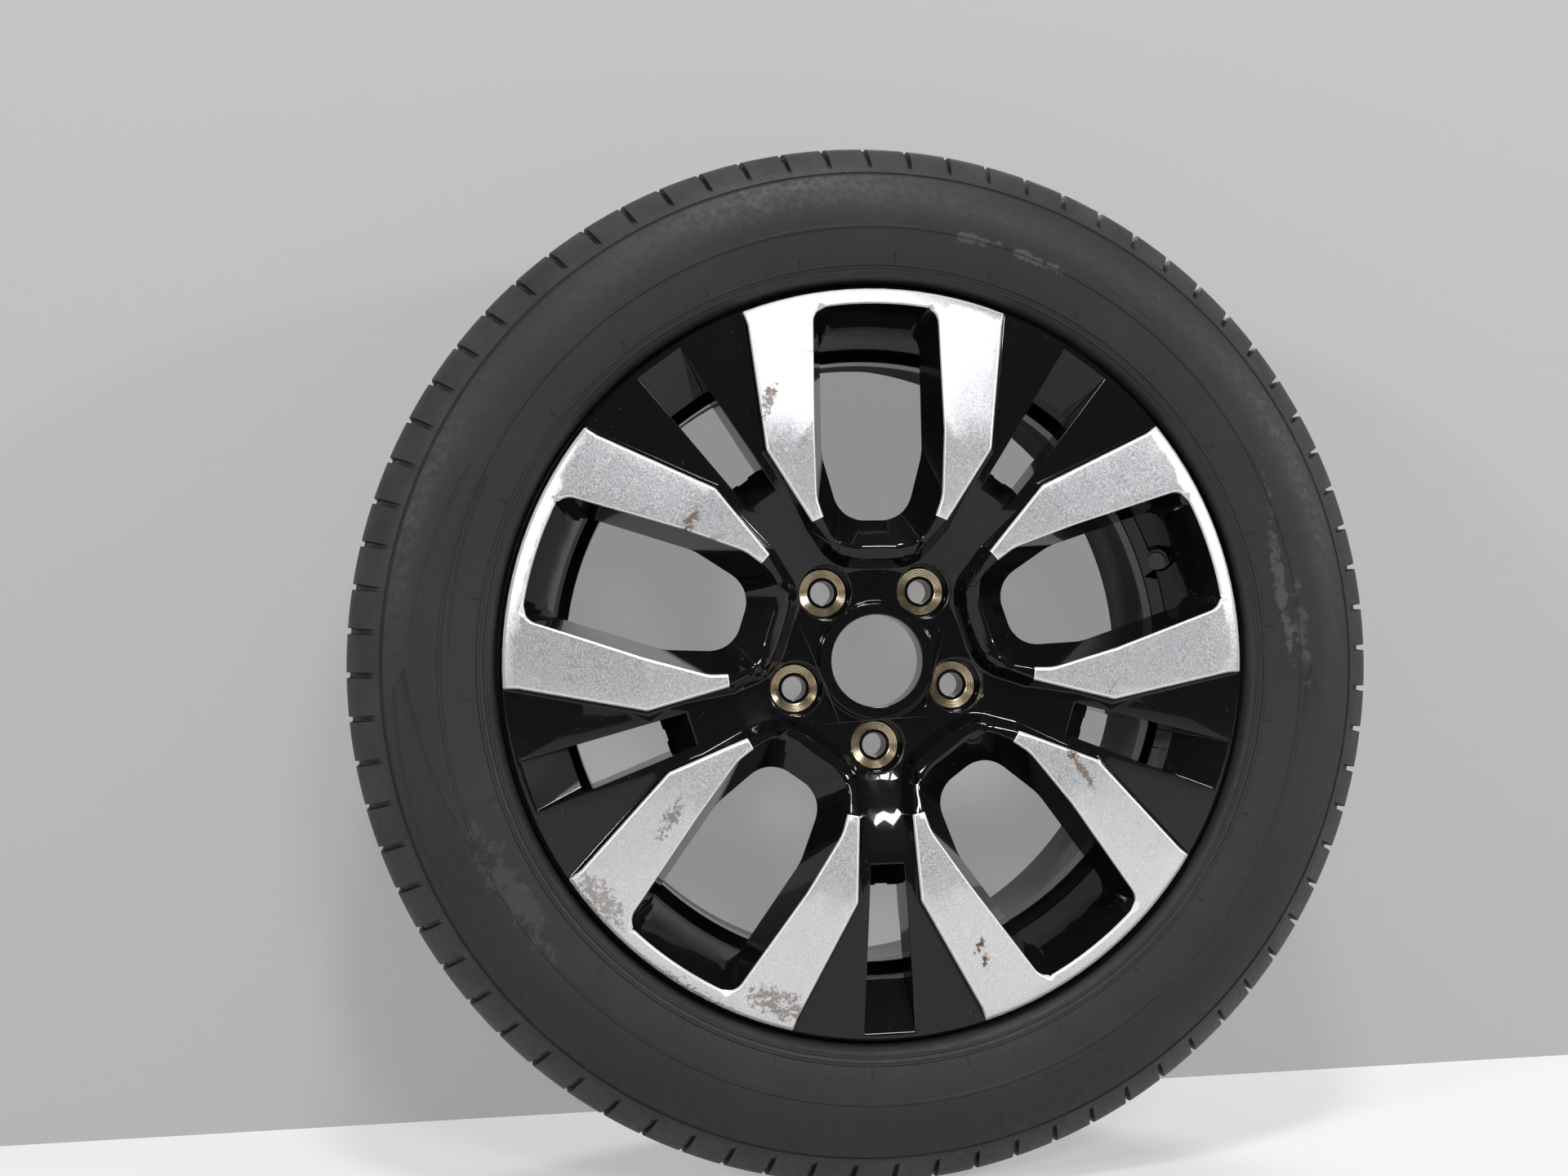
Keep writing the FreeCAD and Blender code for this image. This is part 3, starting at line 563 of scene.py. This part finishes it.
class WheelColours(bpy.types.PropertyGroup):
    """Colours that can be changed in the looks of the wheel."""

    lacquer: colour_setting("Lacquer", "Gloss black of the cast wheel", 0.004, 0.004, 0.0045)
    lacquer_fleck: colour_setting("Lacquer flecks", "Fine dust in the lacquer", 0.07, 0.075, 0.07)
    panel: colour_setting("Panels", "Turned bright panels", 0.86, 0.87, 0.88)
    panel_grain: colour_setting("Panel grain", "Darker grain of the panels", 0.62, 0.63, 0.65)
    panel_cloud: colour_setting("Panel clouds", "Dull clouds on the panels", 0.66, 0.67, 0.7)
    # Cut edges of the panels, painted paler than the panels as a highlight
    panel_edge_and_highlight: colour_setting("Panel edges", "Cut edges of the panels", 0.93, 0.94, 0.95)
    barrel: colour_setting("Barrel", "Dull barrel and back of the wheel", 0.07, 0.066, 0.06)
    barrel_dust: colour_setting("Barrel dust", "Dust on the barrel", 0.15, 0.138, 0.122)
    dirt: colour_setting("Dirt", "Brown smears on the panels", 0.13, 0.078, 0.042)
    seat: colour_setting("Lug seats", "Bare alloy of the lug seats", 0.8, 0.66, 0.44)
    seat_stain: colour_setting("Seat stain", "Brown stain on the lug seats", 0.14, 0.085, 0.045)
    # Painted shade on the walls of the lug holes, darker than their bare alloy
    lug_hole_painted_shade: colour_setting("Lug holes", "Wall of the lug holes", 0.035, 0.028, 0.022)
    rubber: colour_setting("Tyre", "Rubber of the side walls", 0.0078, 0.008, 0.0092)
    rubber_dust: colour_setting("Tyre dust", "Dust on the side walls", 0.021, 0.0212, 0.0232)
    tread: colour_setting("Tread", "Rubber of the tread", 0.0135, 0.0135, 0.0138)
    tread_dust: colour_setting("Tread dust", "Dust on the tread", 0.05, 0.045, 0.039)
    # Painted highlights on the side wall
    side_wall_highlight: colour_setting("Scuffs", "Pale scuffs on the side wall", 0.15, 0.15, 0.155)
    valve: colour_setting("Valve", "Rubber of the valve", 0.012, 0.012, 0.012)
    brass: colour_setting("Brass", "Stem and core pin of the valve", 0.62, 0.47, 0.2)
    cap: colour_setting("Cap", "Plastic of the valve cap", 0.016, 0.016, 0.017)
    cap_dust: colour_setting("Cap dust", "Dust on the valve cap", 0.06, 0.055, 0.05)
    weight: colour_setting("Weights", "Balance weights", 0.09, 0.088, 0.085)
    tape: colour_setting("Tape", "Tape under the weights", 0.3, 0.3, 0.29)
    dust: colour_setting("Dust", "Dust on the valve and the weights", 0.3, 0.27, 0.23)
    floor: colour_setting("Floor colour", "Pale floor", 0.42, 0.418, 0.416)
    wall: colour_setting("Wall colour", "Wall behind the wheel", 0.225, 0.22, 0.217)


class WHEEL_OT_alloy(bpy.types.Operator):
    """Finishes the cast wheel"""

    bl_idname = "wheel.alloy"
    bl_label = "Finish the alloy wheel"

    def execute(self, context):
        sizes = context.scene.wheel_sizes
        material = alloy_material(context.scene.wheel_colours)
        shape = merged_copy("alloy_wheel")
        soften(shape, filter(is_window_corner, shape.edges), sizes.window_round, segments=3)
        soften(shape, filter(is_ridge, shape.edges), sizes.ridge_round, segments=3)
        soften(shape, filter(is_sharp, shape.edges), sizes.edge_round, segments=2)
        mesh = to_mesh(shape, "alloy_look", angle=38.0)
        piece = finish_piece("alloy_look", mesh, material, "wheel")
        even = piece.modifiers.new("EvenShading", "WEIGHTED_NORMAL")
        even.keep_sharp = True
        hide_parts("alloy_wheel")
        return {"FINISHED"}


class WHEEL_OT_seats(bpy.types.Operator):
    """Makes the machined seats in the lug holes"""

    bl_idname = "wheel.seats"
    bl_label = "Make the lug seats"

    def execute(self, context):
        profile = [SEAT_RIM]
        step = SEAT_WIDTH / SEAT_MARKS
        for mark in range(SEAT_MARKS):
            radius = SEAT_RADIUS - mark * step
            profile += [(radius, SEAT_FACE), (radius - step / 2, SEAT_FACE - SEAT_MARK_HEIGHT)]
        profile += LUG_HOLE_PROFILE
        joined = bmesh.new()
        for index in range(SPOKES):
            angle = math.radians(LUG_START + index * SPOKE_STEP)
            centre = (LUG_CIRCLE * math.cos(angle), 0.0, LUG_CIRCLE * math.sin(angle))
            ring = spun(profile, SEAT_STEPS, centre, closed=False)
            inner = [face for face in ring.faces if faces_away(face, centre)]
            bmesh.ops.reverse_faces(ring, faces=inner)
            mesh = bpy.data.meshes.new("one_seat")
            ring.to_mesh(mesh)
            ring.free()
            joined.from_mesh(mesh)
            bpy.data.meshes.remove(mesh)
        mesh = to_mesh(joined, "lug_seats", angle=30.0)
        finish_piece("lug_seats", mesh, seat_material(context.scene.wheel_colours), "wheel")
        return {"FINISHED"}


def faces_away(face, centre):
    """True for a face of a hole's wall that points away from the hole's axis or into the metal."""
    middle = face.calc_center_median() / MM - Vector(centre)
    towards = Vector((-middle.x, 0.0, -middle.z)).normalized() + Vector((0.0, -1.0, 0.0))
    return face.normal.dot(towards) < 0


class WHEEL_OT_tyre(bpy.types.Operator):
    """Makes the tyre with its tread, shoulder slots and side wall ribs"""

    bl_idname = "wheel.tyre"
    bl_label = "Make the tyre"

    def execute(self, context):
        sizes = context.scene.wheel_sizes
        material = tyre_material(context.scene.wheel_colours)
        outside = STREET_PROFILE + mirrored(STREET_PROFILE)
        steps = sizes.pitches * COLUMNS
        shape = spun(outside + INSIDE_PROFILE + mirrored(INSIDE_PROFILE), steps)
        for vert in shape.verts:
            radius = math.hypot(vert.co.x, vert.co.z) / MM
            along = vert.co.y / MM
            share = math.atan2(vert.co.z, vert.co.x) % math.tau / math.tau
            pitch, column = divmod(round(share * steps), COLUMNS)
            turn = (pitch + COLUMN_PLACES[column]) / sizes.pitches * math.tau
            depth = slot_depth(radius, along, column, sizes.slot_depth / MM)
            out = Vector((radius - SECTION_RADIUS, along * SECTION_FLATNESS)).normalized()
            radius -= out.x * depth
            along -= out.y * depth
            vert.co = Vector((radius * math.cos(turn), along, radius * math.sin(turn))) * MM
        bmesh.ops.recalc_face_normals(shape, faces=shape.faces)
        mesh = to_mesh(shape, "tyre_look", angle=35.0)
        piece = finish_piece("tyre_look", mesh, material, "wheel")
        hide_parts("tyre")
        return {"FINISHED"}


def wall_y(radius):
    """Place along the axis of the street side wall at a radius."""
    for (r0, y0), (r1, y1) in zip(STREET_PROFILE[2:], STREET_PROFILE[3:]):
        if r0 <= radius <= r1:
            return y0 + (y1 - y0) * (radius - r0) / (r1 - r0)
    raise ValueError("no side wall at a radius of %.1f mm" % radius)


def wall_point(radius, degrees, lift=0.0):
    """A point on the street side wall, lifted off it by some millimetres."""
    turn = math.radians(degrees)
    return Vector((radius * math.cos(turn), wall_y(radius) - lift, radius * math.sin(turn)))


def add_rib(shape, start, end, width, height):
    """A thin straight rib between two points of the side wall, sized in millimetres."""
    along = (end - start).normalized()
    across = along.cross(Vector((0.0, 1.0, 0.0))).normalized()
    out = along.cross(across).normalized()
    turned = Matrix((along, across, out)).transposed().to_4x4()
    size = Matrix.Diagonal(((end - start).length, width, height, 1.0))
    place = Matrix.Translation((start + end) / 2 * MM) @ turned @ size @ Matrix.Scale(MM, 4)
    bmesh.ops.create_cube(shape, size=1.0, matrix=place)


SERRATED_BANDS = [
    # first and last angle, inner and outer radius at each of them, lean of the ribs in degrees, ribs
    (154.0, 177.0, 266.0, 280.0, 264.0, 289.0, 0.0, 95),
    (179.5, 203.0, 290.0, 298.0, 273.0, 299.0, 2.6, 90),
    (-3.5, -8.5, 272.5, 276.0, 272.5, 284.0, 1.6, 16),
    (50.0, 58.0, 275.0, 288.0, 275.0, 296.0, 1.2, 26),
    (-62.0, -70.0, 275.0, 288.0, 275.0, 296.0, 1.2, 26),
]
# Short ticks round the foot of the side wall
TICKS = 26
TICK_START = 4.0
TICK_RADII = (249.5, 254.5)
TICK_LIFT = 0.1
TICK_WIDTH = 0.7
TICK_HEIGHT = 0.9


class WHEEL_OT_serrations(bpy.types.Operator):
    """Makes the fine serrated bands and ticks on the street side wall, in the tyre's own rubber"""

    bl_idname = "wheel.serrations"
    bl_label = "Make the side wall serrations"

    def execute(self, context):
        sizes = context.scene.wheel_sizes
        width = sizes.rib_width / MM
        height = sizes.rib_height / MM
        shape = bmesh.new()
        for first, last, in0, out0, in1, out1, lean, count in SERRATED_BANDS:
            for index in range(count):
                share = index / (count - 1)
                angle = first + (last - first) * share
                foot = wall_point(in0 + (in1 - in0) * share, angle)
                top = wall_point(out0 + (out1 - out0) * share, angle + lean)
                add_rib(shape, foot, top, width, height)
        for index in range(TICKS):
            angle = TICK_START + index * 360.0 / TICKS
            foot, top = (wall_point(radius, angle, TICK_LIFT) for radius in TICK_RADII)
            add_rib(shape, foot, top, TICK_WIDTH, TICK_HEIGHT)
        bmesh.ops.recalc_face_normals(shape, faces=shape.faces)
        mesh = to_mesh(shape, "side_wall_serrations")
        finish_piece("side_wall_serrations", mesh, bpy.data.materials[TYRE_RUBBER], "wheel")
        return {"FINISHED"}


class WHEEL_OT_valve(bpy.types.Operator):
    """Finishes the valve and its cap"""

    bl_idname = "wheel.valve"
    bl_label = "Finish the valve"

    def execute(self, context):
        colours = context.scene.wheel_colours
        rubber = plain_material("ValveRubber", colours.valve, roughness=0.6, dust=colours.dust)
        brass = plain_material("ValveBrass", colours.brass, roughness=0.35, metallic=1.0)
        cap = plain_material("ValveCap", colours.cap, roughness=0.45, dust=colours.cap_dust)
        for name, material in (("valve_rubber", rubber), ("cap_seal", rubber), ("valve_stem", brass),
                               ("core_pin", brass), ("valve_cap", cap)):
            dress_node(name, material)
        return {"FINISHED"}


WEIGHTS = 4


class WHEEL_OT_weights(bpy.types.Operator):
    """Finishes the balance weights and their tape"""

    bl_idname = "wheel.weights"
    bl_label = "Finish the balance weights"

    def execute(self, context):
        colours = context.scene.wheel_colours
        grey = plain_material("WeightGrey", colours.weight, roughness=0.55, metallic=0.3, dust=colours.dust)
        dress_node("weight_tape", plain_material("WeightTape", colours.tape, roughness=0.7))
        for index in range(WEIGHTS):
            dress_node("weight_%d" % (index + 1), grey)
        return {"FINISHED"}


SHEET_HALF = 3.0
FLOOR_GLOW = 0.4
WALL_GLOW = 0.27
GLOW_COLOUR = (1.0, 0.975, 0.965, 1.0)
SKY_COLOUR = (0.9, 0.95, 1.0, 1.0)
SKY_STRENGTH = 0.09
LAMPS = [
    # name, place, size, power in watts
    ("top", (-0.1, -1.1, 2.0), 0.3, 26.0),
    ("left", (-1.9, -1.5, 0.9), 0.22, 20.0),
    ("right", (1.9, -1.2, 0.7), 0.2, 18.0),
    ("front", (0.5, -2.9, 1.7), 0.5, 32.0),
    ("back", (0.5, 2.0, 1.3), 0.8, 36.0),
]
# The camera's place, its turn in degrees, its sensor in millimetres and the nearest that it sees
CAMERA_PLACE = (-0.1965, -1.0944, 0.0168)
CAMERA_TURN = (91.685, 1.1345, -7.69)
SENSOR_WIDTH = 36.0
NEAREST_SEEN = 0.01


class WHEEL_OT_stage(bpy.types.Operator):
    """Makes the floor, the wall, the lights and the camera"""

    bl_idname = "wheel.stage"
    bl_label = "Make the stage"

    def execute(self, context):
        scene = context.scene
        sizes = scene.wheel_sizes
        colours = scene.wheel_colours
        floor = stage_sheet("floor", SHEET_HALF, Matrix.Translation((0.0, 0.0, sizes.floor_z)))
        upright = Matrix.Translation((0.0, sizes.wall_y, 0.0)) @ Matrix.Rotation(math.pi / 2, 4, "X")
        wall = stage_sheet("wall", SHEET_HALF, upright)
        floor.data.materials.append(stage_material("PaleFloor", colours.floor, FLOOR_GLOW))
        wall.data.materials.append(stage_material("PaleWall", colours.wall, WALL_GLOW, one_sided=True))

        world = bpy.data.worlds.new("StudioWorld")
        world.use_nodes = True
        sky = world.node_tree.nodes["Background"].inputs
        sky["Color"].default_value = SKY_COLOUR
        sky["Strength"].default_value = SKY_STRENGTH
        scene.world = world
        for lamp in LAMPS:
            soft_light(*lamp)

        camera = bpy.data.cameras.new("PhotoCamera")
        camera.lens = sizes.lens
        camera.sensor_width = SENSOR_WIDTH
        camera.clip_start = NEAREST_SEEN
        eye = bpy.data.objects.new("PhotoCamera", camera)
        scene.collection.objects.link(eye)
        turn = Euler([math.radians(angle) for angle in CAMERA_TURN])
        eye.matrix_world = Matrix.LocRotScale(Vector(CAMERA_PLACE), turn, None)
        scene.camera = eye
        scene.view_settings.view_transform = "Standard"
        return {"FINISHED"}


def stage_material(name, colour, glow, one_sided=False):
    """A pale matt material with a little light of its own. A one-sided sheet is clear from behind."""
    material, nodes, shader = new_material(name)
    shader["Base Color"].default_value = colour
    shader["Roughness"].default_value = 0.9
    shader["Emission Color"].default_value = GLOW_COLOUR
    rays = nodes.add("ShaderNodeLightPath").outputs
    seen = nodes.largest(rays["Is Camera Ray"], rays["Is Glossy Ray"], rays["Is Transmission Ray"])
    nodes.feed(shader["Emission Strength"], nodes.times(seen, glow))
    if one_sided:
        ends = material.node_tree.nodes
        behind = nodes.add("ShaderNodeNewGeometry").outputs["Backfacing"]
        choice = nodes.add("ShaderNodeMixShader")
        nodes.feed(choice.inputs[0], nodes.largest(behind, rays["Is Shadow Ray"]))
        nodes.feed(choice.inputs[1], ends["Principled BSDF"].outputs[0])
        nodes.feed(choice.inputs[2], nodes.add("ShaderNodeBsdfTransparent").outputs[0])
        nodes.feed(ends["Material Output"].inputs["Surface"], choice.outputs[0])
    return material


def stage_sheet(name, half, place):
    """A flat square of the stage."""
    shape = bmesh.new()
    bmesh.ops.create_grid(shape, x_segments=1, y_segments=1, size=half)
    bmesh.ops.transform(shape, verts=shape.verts, matrix=place)
    mesh = bpy.data.meshes.new(name)
    shape.to_mesh(mesh)
    shape.free()
    sheet = bpy.data.objects.new(name, mesh)
    bpy.context.scene.collection.objects.link(sheet)
    return sheet


def soft_light(name, place, size, power):
    """A square soft light turned to the middle of the wheel."""
    light = bpy.data.lights.new(name, "AREA")
    light.shape = "SQUARE"
    light.size = size
    light.energy = power
    lamp = bpy.data.objects.new(name, light)
    bpy.context.scene.collection.objects.link(lamp)
    turn = (-Vector(place)).to_track_quat("-Z", "Y")
    lamp.matrix_world = Matrix.LocRotScale(Vector(place), turn, None)


class WHEEL_PT_panel(bpy.types.Panel):
    """The wheel's buttons in the sidebar"""

    bl_idname = "WHEEL_PT_panel"
    bl_label = "Alloy wheel"
    bl_space_type = "VIEW_3D"
    bl_region_type = "UI"
    bl_category = "Wheel"

    def draw(self, context):
        for settings in (context.scene.wheel_sizes, context.scene.wheel_colours):
            for name in type(settings).__annotations__:
                self.layout.prop(settings, name)
        for operator in OPERATORS:
            self.layout.operator(operator.bl_idname)


OPERATORS = (WHEEL_OT_alloy, WHEEL_OT_seats, WHEEL_OT_tyre, WHEEL_OT_serrations, WHEEL_OT_valve,
             WHEEL_OT_weights, WHEEL_OT_stage)
CLASSES = (WheelSizes, WheelColours) + OPERATORS + (WHEEL_PT_panel,)


def register():
    for kind in CLASSES:
        bpy.utils.register_class(kind)
    bpy.types.Scene.wheel_sizes = bpy.props.PointerProperty(type=WheelSizes)
    bpy.types.Scene.wheel_colours = bpy.props.PointerProperty(type=WheelColours)


def unregister():
    del bpy.types.Scene.wheel_colours
    del bpy.types.Scene.wheel_sizes
    for kind in reversed(CLASSES):
        bpy.utils.unregister_class(kind)


def main():
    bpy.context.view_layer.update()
    register()
    bpy.ops.wheel.alloy()
    bpy.ops.wheel.seats()
    bpy.ops.wheel.tyre()
    bpy.ops.wheel.serrations()
    bpy.ops.wheel.valve()
    bpy.ops.wheel.weights()
    bpy.ops.wheel.stage()
    bpy.context.view_layer.update()


if __name__ == "__main__":
    main()
